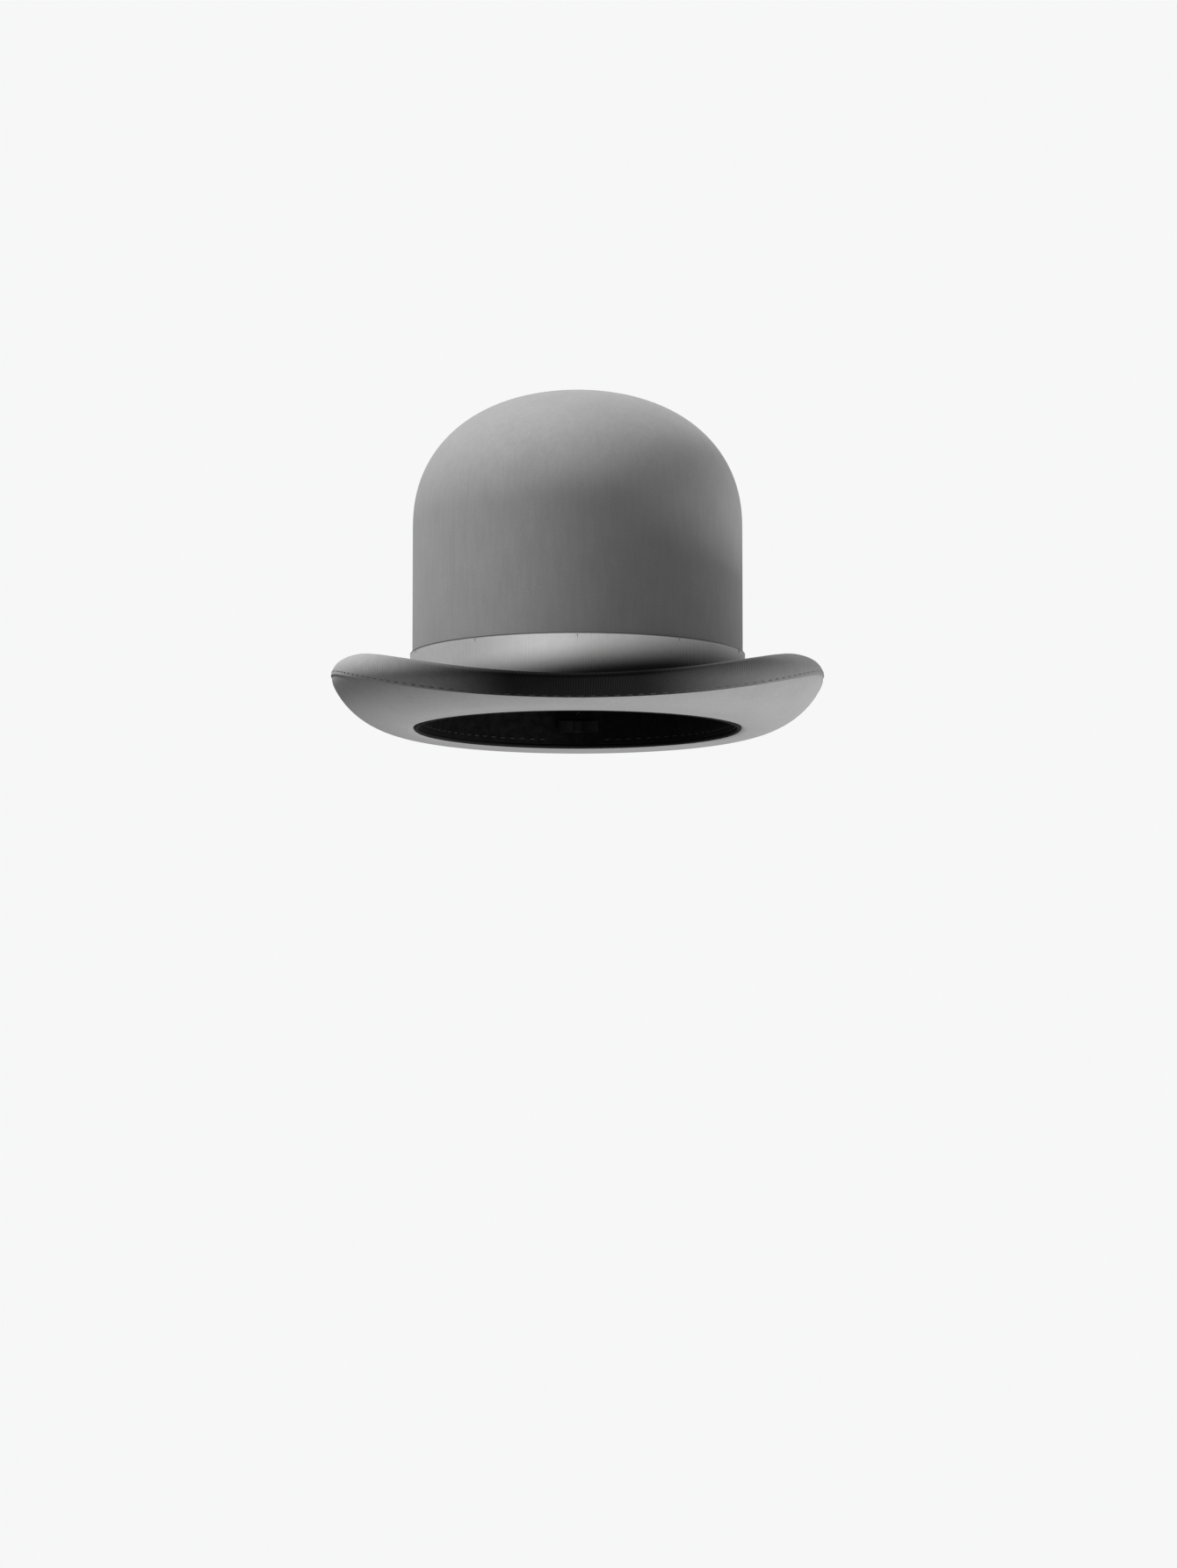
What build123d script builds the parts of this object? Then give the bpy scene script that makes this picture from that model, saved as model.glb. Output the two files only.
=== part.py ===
from build123d import *

import os
from math import acos, asin, ceil, cos, hypot, pi, radians, sin, sqrt

# A bowler hat: a stiff one-piece felt body with a ribbon band and bow, a bound and curled brim,
# a reeded leather sweatband and a satin lining. Millimetres. +Z is up, -Y is the front of the hat
# and +X is the wearer's left. The origin is the middle of the flat underside that the hat stands on.
#
# Almost every piece is a ring round the head. A ring is an oval, written as an offset outwards from
# the outer face of the crown wall and a height, and either one may change round the hat.
# An angle round the hat is the oval's own parameter: 0 is the wearer's left, 90 degrees is the back.

# ---- felt body ----
crown_half_width = 86.25  # outer face of the crown wall, side to side
crown_half_length = 102.75  # the same, front to back
felt = 2.2  # thickness of the stiffened felt
wall_height = 106.0  # where the upright wall turns into the dome
dome_height = 70.8
dome_power = 2.23  # 2 is an ellipse, and more is squarer in the shoulders
break_radius = 2.5  # crease between wall and brim, on the upper side

# ---- brim: a flat, then a wide sweep, then a tight curl, each with a size at the front and at the side ----
flat_front, flat_side = 22.0, 2.0
sweep_radius_front, sweep_radius_side = 35.0, 40.5
sweep_turn_front, sweep_turn_side = 46.5, 64.0
curl_radius = 8.5
curl_turn_front, curl_turn_side = 2.0, 128.0
side_fade = 1.82  # how quickly the front's sizes give way to the side's

# ---- ribbons ----
fit_gap = 0.06  # air left between pieces that lie on each other
band_thickness = 0.8
band_top = 39.4
band_foot_gap = 0.3
band_flare = 0.35  # how far the band's upper edge stands off the felt
binding_thickness = 0.5
binding_leg = 14.0  # width of the binding on each side of the brim
bow_ribbon = 0.55
bow_angle = 36.0  # towards the back from the wearer's left
bow_length = 58.0
bow_fullness = 1.5  # air inside each folded loop
bow_tail_length = 70.0
bow_tail_slant = 7.0
bow_inset = 1.2  # bow ribbon's edges inside the band's edges
knot_width = 13.0

# ---- sweatband ----
leather = 1.0
leather_gap = 0.7  # room behind the leather for tape, ticket and lining
leather_top = 50.0
reed_radius = 0.8
reed_lift = 0.09  # the rolled tape's height above what the hat stands on
tape = 0.3
tape_top = 10.0
tape_lip_turn = 145.0  # where the tape's free lip ends on the roll
joint_gap = 0.4  # between the two ends of a strip that meets at the back
seam_tape_width = 14.0
inside_bow_length = 22.0
inside_bow_width = 6.0
inside_bow_ribbon = 0.35
inside_bow_full = 1.0
inside_bow_height = 12.0

# ---- lining ----
satin = 0.25
lining_foot = 12.0
lining_hang = 3.4  # offset of the loose lining inside the crown's outer face
lining_free = 60.0  # height where the lining comes away from the felt
tip_size = 0.74  # size of the tip oval, as a share of the crown oval
tip_seam = 0.004
protector_share_of_turn = 0.72
protector_margin = 0.01
protector_film = 0.2
ticket_thickness = 0.2
ticket_width = 30.0
ticket_height = 22.0
ticket_top = 58.0
ticket_angle = 140.0

# ---- thread ----
thread = 0.22  # radius
stitch_pitch = 6.0
stitch_length = 3.6
binding_stitch_back = binding_leg - 1.6  # from the rim
sweatband_stitch_rise = 2.4
seam_stitch_rise = 4.0
seam_stitch_half = 1.6
band_thread = 0.16
band_tack_count = 10
band_tack_length = 2.4

ring_points = 48
os.makedirs("parts", exist_ok=True)


# ---------------------------------------------------------------- rings and skins


def oval(angle, offset, height):
    """The point at an angle round the hat, offset outwards from the crown wall's outer face."""
    return Vector((crown_half_width + offset) * cos(angle), (crown_half_length + offset) * sin(angle), height)


def loop_through(point_at):
    """A smooth closed curve round the hat, from the back. point_at gives its point at an angle."""
    angles = [pi / 2 + 2 * pi * i / ring_points for i in range(ring_points)]
    return Wire([Edge.make_spline([point_at(a) for a in angles], periodic=True)])


def ring(place):
    """A closed curve round the hat. place gives its offset and height at an angle."""
    return loop_through(lambda angle: oval(angle, *place(angle)))


def level(offset, height):
    """A ring of one offset and one height."""
    return ring(lambda angle: (offset, height))


def skin(rings):
    """The smooth surface through a run of rings, or the straight one between two."""
    return Shell.make_loft(rings, ruled=len(rings) == 2).faces()


def closed(*skins):
    """The solid that the skins close, whose neighbours share their end rings."""
    solid = Solid(Shell([face for faces in skins for face in faces]))
    return solid if solid.volume > 0 else Solid(solid.wrapped.Reversed())


def hoop(inner, outer, foot, top):
    """An upright oval strip between two offsets and two heights."""
    return closed(
        skin([level(inner, foot), level(inner, top)]),
        skin([level(inner, top), level(outer, top)]),
        skin([level(outer, top), level(outer, foot)]),
        skin([level(outer, foot), level(inner, foot)]),
    )


def steps(low, high, count):
    """Evenly spaced values from low to high, ends included."""
    return [low + (high - low) * i / count for i in range(count + 1)]


# ---------------------------------------------------------------- the brim's section


def front_to_side(front, side, angle):
    return front + (side - front) * abs(cos(angle)) ** side_fade


def brim_flat(angle):
    return front_to_side(flat_front, flat_side, angle)


def brim_sweep(angle):
    """Radius and turn, in radians, of the sweep."""
    radius = front_to_side(sweep_radius_front, sweep_radius_side, angle)
    return radius, radians(front_to_side(sweep_turn_front, sweep_turn_side, angle))


def brim_length(angle):
    """Length of the underside from the break to the rim."""
    radius, turn = brim_sweep(angle)
    curl = radians(front_to_side(curl_turn_front, curl_turn_side, angle))
    return brim_flat(angle) + radius * turn + curl_radius * curl


def brim(angle, along, lift, beyond=0.0):
    """Offset and height of a point that is so far along the underside, lifted from it towards the upper
    side, and beyond it in the direction that the underside points."""
    flat = brim_flat(angle)
    radius, turn = brim_sweep(angle)
    if along <= flat:
        slope, offset, height = 0.0, along, 0.0
    elif along <= flat + radius * turn:
        slope = (along - flat) / radius
        offset, height = flat + radius * sin(slope), radius * (1 - cos(slope))
    else:
        slope = turn + (along - flat - radius * turn) / curl_radius
        offset = flat + radius * sin(turn) + curl_radius * (sin(slope) - sin(turn))
        height = radius * (1 - cos(turn)) + curl_radius * (cos(turn) - cos(slope))
    offset += break_radius - lift * sin(slope) + beyond * cos(slope)
    height += lift * cos(slope) + beyond * sin(slope)
    return offset, height


def brim_ring(share, lift):
    """A ring on the swept and curled part of the brim, by its share of the way to the rim."""

    def place(angle):
        flat = brim_flat(angle)
        return brim(angle, flat + share * (brim_length(angle) - flat), lift)

    return ring(place)


def rim_ring(back, lift, beyond=0.0):
    """A ring so far back from the rim."""
    return ring(lambda angle: brim(angle, brim_length(angle) - back, lift, beyond))


# ---------------------------------------------------------------- the crown's section


def dome_point(angle, inset, share):
    """A point on the dome, inset from its outer face, by angle and by share of the turn to the top."""
    size = cos(share * pi / 2) ** (2 / dome_power)
    rise = sin(share * pi / 2) ** (2 / dome_power)
    half_width = (crown_half_width - inset) * size
    half_length = (crown_half_length - inset) * size
    return Vector(half_width * cos(angle), half_length * sin(angle), wall_height + (dome_height - inset) * rise)


def dome_ring(inset, share):
    return loop_through(lambda angle: dome_point(angle, inset, share))


def dome_share(size):
    """The share of the turn at which the dome has shrunk to a size."""
    return 2 / pi * acos(size ** (dome_power / 2))


def dome_top(inset):
    return Vertex(0, 0, wall_height + dome_height - inset)


dome_shares = steps(0, 0.9, 9)[1:] + [0.96]


def crown_skin(inset):
    wall_foot = felt + break_radius
    wall = [level(-inset, z) for z in steps(wall_foot, wall_height, 6)]
    return skin(wall + [dome_ring(inset, s) for s in dome_shares] + [dome_top(inset)])


def break_skin(inset):
    """The crease between the wall and the brim, at a depth below the upper side."""
    radius = break_radius + inset
    middle = felt + break_radius
    turns = [radians(t) for t in steps(0, 90, 5)]
    return skin([level(break_radius - radius * sin(t), middle - radius * cos(t)) for t in turns])


def felt_body():
    brim_shares = steps(0, 1, 26)
    foot = level(break_radius, 0)
    flat_edge = brim_ring(0, 0)
    rest = Face(flat_edge, [foot])
    upper = [level(break_radius, felt)] + [brim_ring(s, felt) for s in brim_shares]
    return closed(
        crown_skin(0),
        break_skin(0),
        skin(upper),
        skin([brim_ring(1, felt), brim_ring(1, 0)]),
        skin([brim_ring(s, 0) for s in brim_shares]),
        [rest],
        break_skin(felt),
        crown_skin(felt),
    )


# ---------------------------------------------------------------- brim binding
binding_rise = fit_gap + binding_thickness


def binding_skin(rise):
    """One face of the folded ribbon, at a height above the felt: under leg, round the rim, upper leg."""
    back = steps(binding_leg, 0, 9)
    reach = felt / 2 + rise
    under = [rim_ring(b, -rise) for b in back]
    fold = [rim_ring(0, felt / 2 - reach * cos(t), reach * sin(t)) for t in steps(0, pi, 6)[1:-1]]
    upper = [rim_ring(b, felt + rise) for b in reversed(back)]
    return skin(under + fold + upper)


def brim_binding():
    """A ribbon folded over the rim of the brim."""
    return closed(
        binding_skin(binding_rise),
        skin([rim_ring(binding_leg, felt + binding_rise), rim_ring(binding_leg, felt + fit_gap)]),
        binding_skin(fit_gap),
        skin([rim_ring(binding_leg, -fit_gap), rim_ring(binding_leg, -binding_rise)]),
    )


# ---------------------------------------------------------------- stitches
def stitch(start, end, radius=thread):
    """A straight piece of thread between two points."""
    run = end - start
    rod = Cylinder(radius, run.length, align=(Align.CENTER, Align.CENTER, Align.MIN))
    return Plane(origin=start, z_dir=run) * rod


def stitch_row(point_at):
    """Stitches along a closed line round the hat, as near to the pitch as a whole number of them comes."""
    fine = 720
    points = [point_at(2 * pi * (i + 0.5) / fine) for i in range(fine + 1)]
    runs = [(b - a).length for a, b in zip(points, points[1:])]
    spacing = sum(runs) / ceil(sum(runs) / stitch_pitch)
    row = []
    gone = 0.0
    for start, end, run in zip(points, points[1:], runs):
        if gone >= len(row) * spacing:
            half = (end - start).normalized() * (stitch_length / 2)
            row.append(stitch(start - half, start + half))
        gone += run
    return row


def binding_stitches():
    """A row near the edge of each leg of the binding."""
    rise = binding_rise + fit_gap + thread

    def row(lift):
        return stitch_row(lambda a: oval(a, *brim(a, brim_length(a) - binding_stitch_back, lift)))

    return Compound(row(-rise) + row(felt + rise))


# ---------------------------------------------------------------- hat band
band_foot = felt + break_radius + band_foot_gap
band_inner = fit_gap
band_outer = band_inner + band_thickness


def hat_band():
    """A wide ribbon round the foot of the crown, whose upper edge stands a little off the felt."""
    inner_top = level(band_inner + band_flare, band_top)
    outer_top = level(band_outer + band_flare, band_top)
    return closed(
        skin([level(band_inner, band_foot), inner_top]),
        skin([inner_top, outer_top]),
        skin([outer_top, level(band_outer, band_foot)]),
        skin([level(band_outer, band_foot), level(band_inner, band_foot)]),
    )


def band_tacks():
    """Short upright stitches at the band's upper edge."""
    offset = band_outer + band_flare + fit_gap + band_thread
    tacks = []
    for i in range(band_tack_count):
        angle = 2 * pi * (i + 0.5) / band_tack_count
        foot = oval(angle, offset, band_top - fit_gap - band_tack_length)
        tacks.append(stitch(foot, oval(angle, offset, band_top - fit_gap), band_thread))
    return Compound(tacks)


# ---------------------------------------------------------------- flat bows
def strip_outline(low, high):
    """The outline between two lines that run the same way, with square ends."""
    return make_face([Spline(*low), Line(low[-1], high[-1]), Spline(*reversed(high)), Line(high[0], low[0])])


def pocket_outline(low, high):
    """The outline between two lines that run the same way, with half round ends."""

    def fold(a, b, side):
        bulge = side * hypot(a[0] - b[0], a[1] - b[1]) / 2
        return ThreePointArc(a, ((a[0] + b[0]) / 2 + bulge, (a[1] + b[1]) / 2), b)

    return make_face([Spline(*low), fold(low[-1], high[-1], 1), Spline(*reversed(high)), fold(high[0], low[0], -1)])


def folded_loop(half, ribbon, pinch, fullness, out_at, width):
    """A ribbon folded flat into a loop, pinched over its middle. It runs along x and stands along z.
    out_at gives the distance from the bow's plane to the face that it lies on, at a place x."""

    def room(x):
        share = max(0.0, (abs(x) - pinch) / (half - pinch))
        return fit_gap + fullness * (sin(pi * min(share, 1)) ** 0.75 + 0.25 * share)

    def line(reach, out):
        return [(x, out_at(x) + out(x)) for x in steps(-reach, reach, 16)]

    outer = pocket_outline(line(half, lambda x: 0.0), line(half, lambda x: 2 * ribbon + room(x)))
    inner = pocket_outline(line(half - ribbon, lambda x: ribbon), line(half - ribbon, lambda x: ribbon + room(x)))
    return extrude(outer - inner, width)


def wrapped_knot(width, near, far, foot, top, ribbon):
    """A short ribbon wrapped round whatever lies between two distances and two heights."""
    middle = Pos(0, (near + far) / 2, (foot + top) / 2)
    wrap = Box(width, far - near + 2 * ribbon, top - foot + 2 * ribbon)
    wrap = fillet(wrap.edges().filter_by(Axis.X), ribbon)
    return middle * (wrap - Box(width, far - near, top - foot))


# ---------------------------------------------------------------- the bow on the band
bow_turn = radians(bow_angle)
bow_curve = hypot(crown_half_width * sin(bow_turn), crown_half_length * cos(bow_turn)) ** 3
bow_curve /= crown_half_width * crown_half_length


def crown_sag(x):
    """How far the crown's wall falls away from the bow's plane, at a distance along the band."""
    return bow_curve - sqrt(bow_curve**2 - x**2)


bow_foot = band_foot + bow_inset
bow_top = band_top - bow_inset
knot_sag = crown_sag(knot_width / 2)
knot_inner = band_outer + band_flare + knot_sag + fit_gap
tail_inner = knot_inner + bow_ribbon + fit_gap
loop_inner = tail_inner + bow_ribbon + fit_gap


def bow_plane():
    """The bow's own plane: x runs along the band, y points out from the crown, and z is up."""
    out = Vector(cos(bow_turn) / crown_half_width, sin(bow_turn) / crown_half_length, 0).normalized()
    return Plane(origin=oval(bow_turn, 0, 0), x_dir=Vector(out.Y, -out.X, 0), z_dir=Vector(0, 0, 1))


def bow_loop():
    """The two loops of the bow, folded from one length of ribbon."""
    lies_on = lambda x: loop_inner - crown_sag(x)
    loop = folded_loop(bow_length / 2, bow_ribbon, knot_width / 2, bow_fullness, lies_on, bow_top - bow_foot)
    return bow_plane() * Pos(0, 0, bow_foot) * loop


def bow_tail():
    """A flat length of ribbon under the loops, its ends cut on a slant."""
    half = bow_tail_length / 2
    low = [(x, tail_inner - crown_sag(x)) for x in steps(-half, half, 8)]
    high = [(x, y + bow_ribbon) for x, y in low]
    strip = Pos(0, 0, bow_foot) * extrude(strip_outline(low, high), bow_top - bow_foot)
    short = half - bow_tail_slant
    corners = [(-short, bow_top), (short, bow_top), (half, bow_foot), (-half, bow_foot)]
    slant = extrude(Plane.XZ * make_face(Polyline(*corners, close=True)), crown_half_width, both=True)
    return bow_plane() * (strip & slant)


def bow_knot():
    """The short ribbon round the middle of the loops and the tail."""
    near = tail_inner - fit_gap - knot_sag
    far = loop_inner + 2 * bow_ribbon + 2 * fit_gap
    return bow_plane() * wrapped_knot(knot_width, near, far, bow_foot - fit_gap, bow_top + fit_gap, bow_ribbon)


# ---------------------------------------------------------------- sweatband and reed
leather_outer = -felt - leather_gap
leather_inner = leather_outer - leather
roll_radius = reed_radius + fit_gap + tape
reed_height = reed_lift + roll_radius
crease_radius = felt + break_radius
crease_reach = sqrt(crease_radius**2 - (crease_radius - reed_height) ** 2)
beside_crease = break_radius - crease_reach - roll_radius - fit_gap
under_stand = 0.8 * (roll_radius - tape) - felt - fit_gap - tape
reed_offset = min(beside_crease, under_stand)
leather_foot = reed_height + roll_radius + fit_gap


def back_slit(foot, top):
    """The slit between two ends that meet at the back."""
    return Pos(0, crown_half_length, (foot + top) / 2) * Box(joint_gap, 8 * felt, top - foot)


def sweatband():
    """A leather strip round the inside of the head opening."""
    return hoop(leather_inner, leather_outer, leather_foot, leather_top) - back_slit(leather_foot - 1, leather_top + 1)


def reed_ring(radius, turn):
    """A ring on a tube round the reed. A turn of 0 is outwards and pi / 2 is up."""
    return level(reed_offset + radius * cos(turn), reed_height + radius * sin(turn))


def sweatband_reed():
    """A thin springy rod bent to the oval, whose two ends meet at the back."""
    over = [reed_ring(reed_radius, t) for t in steps(0, pi, 6)]
    under = [reed_ring(reed_radius, t) for t in steps(pi, 2 * pi, 6)]
    return closed(skin(over), skin(under)) - back_slit(0, 2 * reed_height)


def reed_tape():
    """A cloth tape that wraps the reed and stands up behind the leather, where it is sewn to the felt."""
    outer_face = -felt - fit_gap
    inner_face = outer_face - tape
    hole = roll_radius - tape
    lip = radians(tape_lip_turn) - 2 * pi
    outer_roll = [reed_ring(roll_radius, t) for t in steps(acos((outer_face - reed_offset) / roll_radius), lip, 16)]
    inner_roll = [reed_ring(hole, t) for t in steps(lip, acos((inner_face - reed_offset) / hole), 16)]
    outer_top = level(outer_face, tape_top)
    inner_top = level(inner_face, tape_top)
    return closed(
        skin([outer_top, outer_roll[0]]),
        skin(outer_roll),
        skin([outer_roll[-1], inner_roll[0]]),
        skin(inner_roll),
        skin([inner_roll[-1], inner_top]),
        skin([inner_top, outer_top]),
    )


def sweatband_stitches():
    """A row along the foot of the leather, left out behind the small bow."""
    offset = leather_inner - fit_gap - thread
    row = stitch_row(lambda a: oval(a, offset, leather_foot + sweatband_stitch_rise))
    clear = inside_bow_length / 2 + stitch_length
    return Compound([s for s in row if s.center().Y < 0 or abs(s.center().X) > clear])


def seam_tape():
    """Cloth glued behind the joint of the leather."""
    half = seam_tape_width / 2

    def line(offset):
        reach = crown_half_width + offset
        turns = steps(-asin(half / reach), asin(half / reach), 6)
        return [(reach * sin(t), (crown_half_length + offset) * cos(t)) for t in turns]

    near = leather_outer + fit_gap
    strip = extrude(strip_outline(line(near), line(near + tape)), leather_top - tape_top - 2)
    return Pos(0, 0, tape_top + 1) * strip


def seam_stitches():
    """A zigzag across the joint of the leather, above the small bow."""
    back = crown_half_length + leather_inner - 2 * fit_gap - thread
    low = inside_bow_height + inside_bow_width
    zigzag = []
    for i in range(int((leather_top - low - 2) / seam_stitch_rise)):
        side = seam_stitch_half * (-1) ** i
        height = low + i * seam_stitch_rise
        zigzag.append(stitch(Vector(-side, back, height), Vector(side, back, height + 0.8 * seam_stitch_rise)))
    return Compound(zigzag)


def inside_back(x):
    """Where the leather's inner face is at the back, at a place across it."""
    return (crown_half_length + leather_inner) * sqrt(1 - (x / (crown_half_width + leather_inner)) ** 2)


small_knot_half = inside_bow_width / 3
small_knot_sag = inside_back(0) - inside_back(small_knot_half)


def small_bow_out(x):
    """Distance from the leather at the very back to the face that the small bow's loop lies on."""
    return inside_back(0) - inside_back(x) + inside_bow_ribbon + 2 * fit_gap


def small_bow_place(height):
    """Turns a bow that faces along y to face the head from the back of the leather."""
    return Pos(0, inside_back(0), height) * Rot(0, 0, 180)


def inside_bow_loop():
    """The small bow's loop, over the foot of the leather's joint."""
    half = inside_bow_length / 2
    loop = folded_loop(half, inside_bow_ribbon, small_knot_half, inside_bow_full, small_bow_out, inside_bow_width)
    return small_bow_place(inside_bow_height - inside_bow_width / 2) * loop


def inside_bow_knot():
    """The small bow's knot, round the middle of its loop."""
    near = inside_bow_ribbon + fit_gap
    far = small_bow_out(small_knot_half) + 2 * inside_bow_ribbon + 2 * fit_gap
    half = inside_bow_width / 2 + fit_gap
    knot = wrapped_knot(2 * small_knot_half, near, far, -half, half, inside_bow_ribbon)
    return small_bow_place(inside_bow_height) * knot


# ---------------------------------------------------------------- lining
lining_outer = -felt - fit_gap
tip_share_of_turn = 2 / pi * acos(tip_size ** (dome_power / 2))


def lining_skins(inset):
    """The two faces of one side of the lining: flat on the felt, then hanging free up to the tip."""
    close = lining_outer - inset
    free = -lining_hang - inset
    ease = 4
    start = level(close, lining_free)
    wall = []
    for i in range(1, ease):
        share = i / ease
        wall.append(level(close + (free - close) * share, lining_free + (wall_height - lining_free) * share))
    dome = [dome_ring(lining_hang + inset, s) for s in steps(0, tip_share_of_turn, 6)]
    return skin([level(close, lining_foot), start]), skin([start] + wall + dome)


def lining_side():
    """The satin that lines the wall, from behind the leather up to the seam round the tip."""
    foot = skin([level(lining_outer - satin, lining_foot), level(lining_outer, lining_foot)])
    edges = [dome_ring(lining_hang + inset, tip_share_of_turn) for inset in (0, satin)]
    return closed(*lining_skins(0), skin(edges), *lining_skins(satin), foot)


def cap(inset, first_share, thickness):
    """A thin piece under the top of the dome, from a share of the turn to the top."""
    shares = steps(first_share, 0.96, 6)

    def face(depth):
        return skin([dome_ring(depth, s) for s in shares] + [dome_top(depth)])

    rim = skin([dome_ring(inset, first_share), dome_ring(inset + thickness, first_share)])
    return closed(face(inset), rim, face(inset + thickness))


def lining_tip():
    """The oval of satin at the top of the lining."""
    return cap(lining_hang, tip_share_of_turn + tip_seam, satin)


def tip_protector():
    """A clear film sewn over the middle of the tip."""
    return cap(lining_hang + satin + fit_gap, protector_share_of_turn, protector_film)


def protector_stitches():
    depth = lining_hang + satin + protector_film + 2 * fit_gap + thread
    return Compound(stitch_row(lambda a: dome_point(a, depth, protector_share_of_turn + protector_margin)))


def size_ticket():
    """A blank paper slip tucked behind the leather, with its top showing above it."""
    outer = lining_outer - satin - fit_gap
    inner = outer - ticket_thickness
    slip = hoop(inner, outer, ticket_top - ticket_height, ticket_top)
    middle = oval(radians(ticket_angle), 0, ticket_top - ticket_height / 2)
    window = Plane(origin=middle, z_dir=Vector(middle.X, middle.Y, 0)) * Box(ticket_width, 4 * ticket_height, 8 * felt)
    return slip & window


# ---------------------------------------------------------------- the hat
pieces = [
    felt_body, brim_binding, binding_stitches, hat_band, band_tacks, bow_loop, bow_tail, bow_knot,
    sweatband, sweatband_reed, reed_tape, sweatband_stitches, seam_tape, seam_stitches, inside_bow_loop,
    inside_bow_knot, lining_side, lining_tip, tip_protector, protector_stitches, size_ticket,
]
for piece in pieces:
    export_step(piece(), f"parts/{piece.__name__}.step")
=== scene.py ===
from math import acos, asin, atan2, cos, hypot, pi, radians, sin, sqrt

import bmesh
import bpy
from mathutils import Matrix, Vector


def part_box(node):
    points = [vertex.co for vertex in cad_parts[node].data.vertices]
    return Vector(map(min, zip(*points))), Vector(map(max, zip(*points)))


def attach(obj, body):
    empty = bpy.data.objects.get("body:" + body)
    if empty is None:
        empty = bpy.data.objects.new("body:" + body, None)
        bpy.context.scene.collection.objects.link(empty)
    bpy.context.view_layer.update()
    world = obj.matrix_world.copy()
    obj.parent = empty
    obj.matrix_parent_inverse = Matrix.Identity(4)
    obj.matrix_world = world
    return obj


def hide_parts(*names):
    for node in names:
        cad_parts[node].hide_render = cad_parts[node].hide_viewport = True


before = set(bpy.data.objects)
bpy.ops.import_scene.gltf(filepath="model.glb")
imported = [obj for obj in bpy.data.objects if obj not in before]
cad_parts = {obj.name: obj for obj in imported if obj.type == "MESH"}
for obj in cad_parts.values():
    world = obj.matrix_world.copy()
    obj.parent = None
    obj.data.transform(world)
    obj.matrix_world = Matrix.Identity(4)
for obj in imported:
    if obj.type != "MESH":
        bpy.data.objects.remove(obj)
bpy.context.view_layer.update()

# ---- Camera, daylight and backdrop ----
# The hat is seen level from the front, a little from below, so that the underside of the brim and a
# sliver of the head opening show. It hangs in front of a plain pale wall.
hat_low, hat_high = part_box("felt_body")
eye_distance = 2.2
eye_elevation = radians(-4.87)
looked_at = Vector((0.0057, 0.0, hat_low[2] - 0.0278))

eye = bpy.data.objects.new("eye", bpy.data.cameras.new("eye"))
bpy.context.collection.objects.link(eye)
eye.data.lens = 96.9
eye.data.clip_end = 50
eye.location = looked_at + eye_distance * Vector((0, -cos(eye_elevation), sin(eye_elevation)))
eye.rotation_euler = (looked_at - eye.location).to_track_quat("-Z", "Y").to_euler()
bpy.context.scene.camera = eye
bpy.context.scene.view_settings.view_transform = "Standard"


def lamp(name, place, aim, side, watts):
    """A square soft light that faces a point."""
    light = bpy.data.lights.new(name, "AREA")
    light.size = side
    light.energy = watts
    holder = bpy.data.objects.new(name, light)
    bpy.context.collection.objects.link(holder)
    holder.location = place
    holder.rotation_euler = (Vector(aim) - Vector(place)).to_track_quat("-Z", "Y").to_euler()


crown_middle = (0, 0, hat_high[2] / 2)
lamp("window_light", (-1.08, -0.36, 2.12), crown_middle, 0.9, 104)
lamp("low_fill", (0.9, -0.12, -1.26), (0.02, -0.03, 0.0), 0.6, 35)
lamp("back_fill", (1.5, 1.6, 0.9), crown_middle, 1.2, 30)

room = bpy.data.worlds.new("room")
bpy.context.scene.world = room
room.use_nodes = True
room.node_tree.nodes["Background"].inputs["Color"].default_value = (1, 1, 1, 1)
room.node_tree.nodes["Background"].inputs["Strength"].default_value = 0.43

ball = bmesh.new()
bmesh.ops.create_uvsphere(ball, u_segments=48, v_segments=24, radius=6)
bmesh.ops.reverse_faces(ball, faces=ball.faces[:])
wall_mesh = bpy.data.meshes.new("pale_wall")
ball.to_mesh(wall_mesh)
ball.free()
pale_wall = bpy.data.objects.new("pale_wall", wall_mesh)
bpy.context.collection.objects.link(pale_wall)
pale_wall.visible_diffuse = False
pale_wall.visible_glossy = False
pale_wall.visible_transmission = False
pale_wall.visible_shadow = False
wall_paint = bpy.data.materials.new("pale_wall")
wall_paint.use_nodes = True
wall_shader = wall_paint.node_tree.nodes["Principled BSDF"]
wall_shader.inputs["Base Color"].default_value = (0, 0, 0, 1)
wall_shader.inputs["Roughness"].default_value = 1
wall_shader.inputs["Specular IOR Level"].default_value = 0
wall_shader.inputs["Emission Color"].default_value = (0.93, 0.93, 0.935, 1)
wall_shader.inputs["Emission Strength"].default_value = 1
wall_mesh.materials.append(wall_paint)

# ---- Felt body ----
# One piece of stiffened fur felt, blocked into a tall dome and a brim that runs flat round the head,
# sweeps up and curls over at the sides. The nap is short and brushed, so it shows only as fine mottling.
crown_side, crown_front = 0.08625, 0.10275  # half sizes of the wall's outer face
felt = 0.0022
wall_top, dome_rise, dome_power = 0.106, 0.0708, 2.23
crease = 0.0025
segments = 240
round_length = pi * (crown_side + crown_front)


def oval(turn, offset, height):
    """The point at an angle round the hat, offset outwards from the crown's wall."""
    return Vector(((crown_side + offset) * cos(turn), (crown_front + offset) * sin(turn), height))


def level(offset, height):
    return lambda turn: oval(turn, offset, height)


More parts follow.
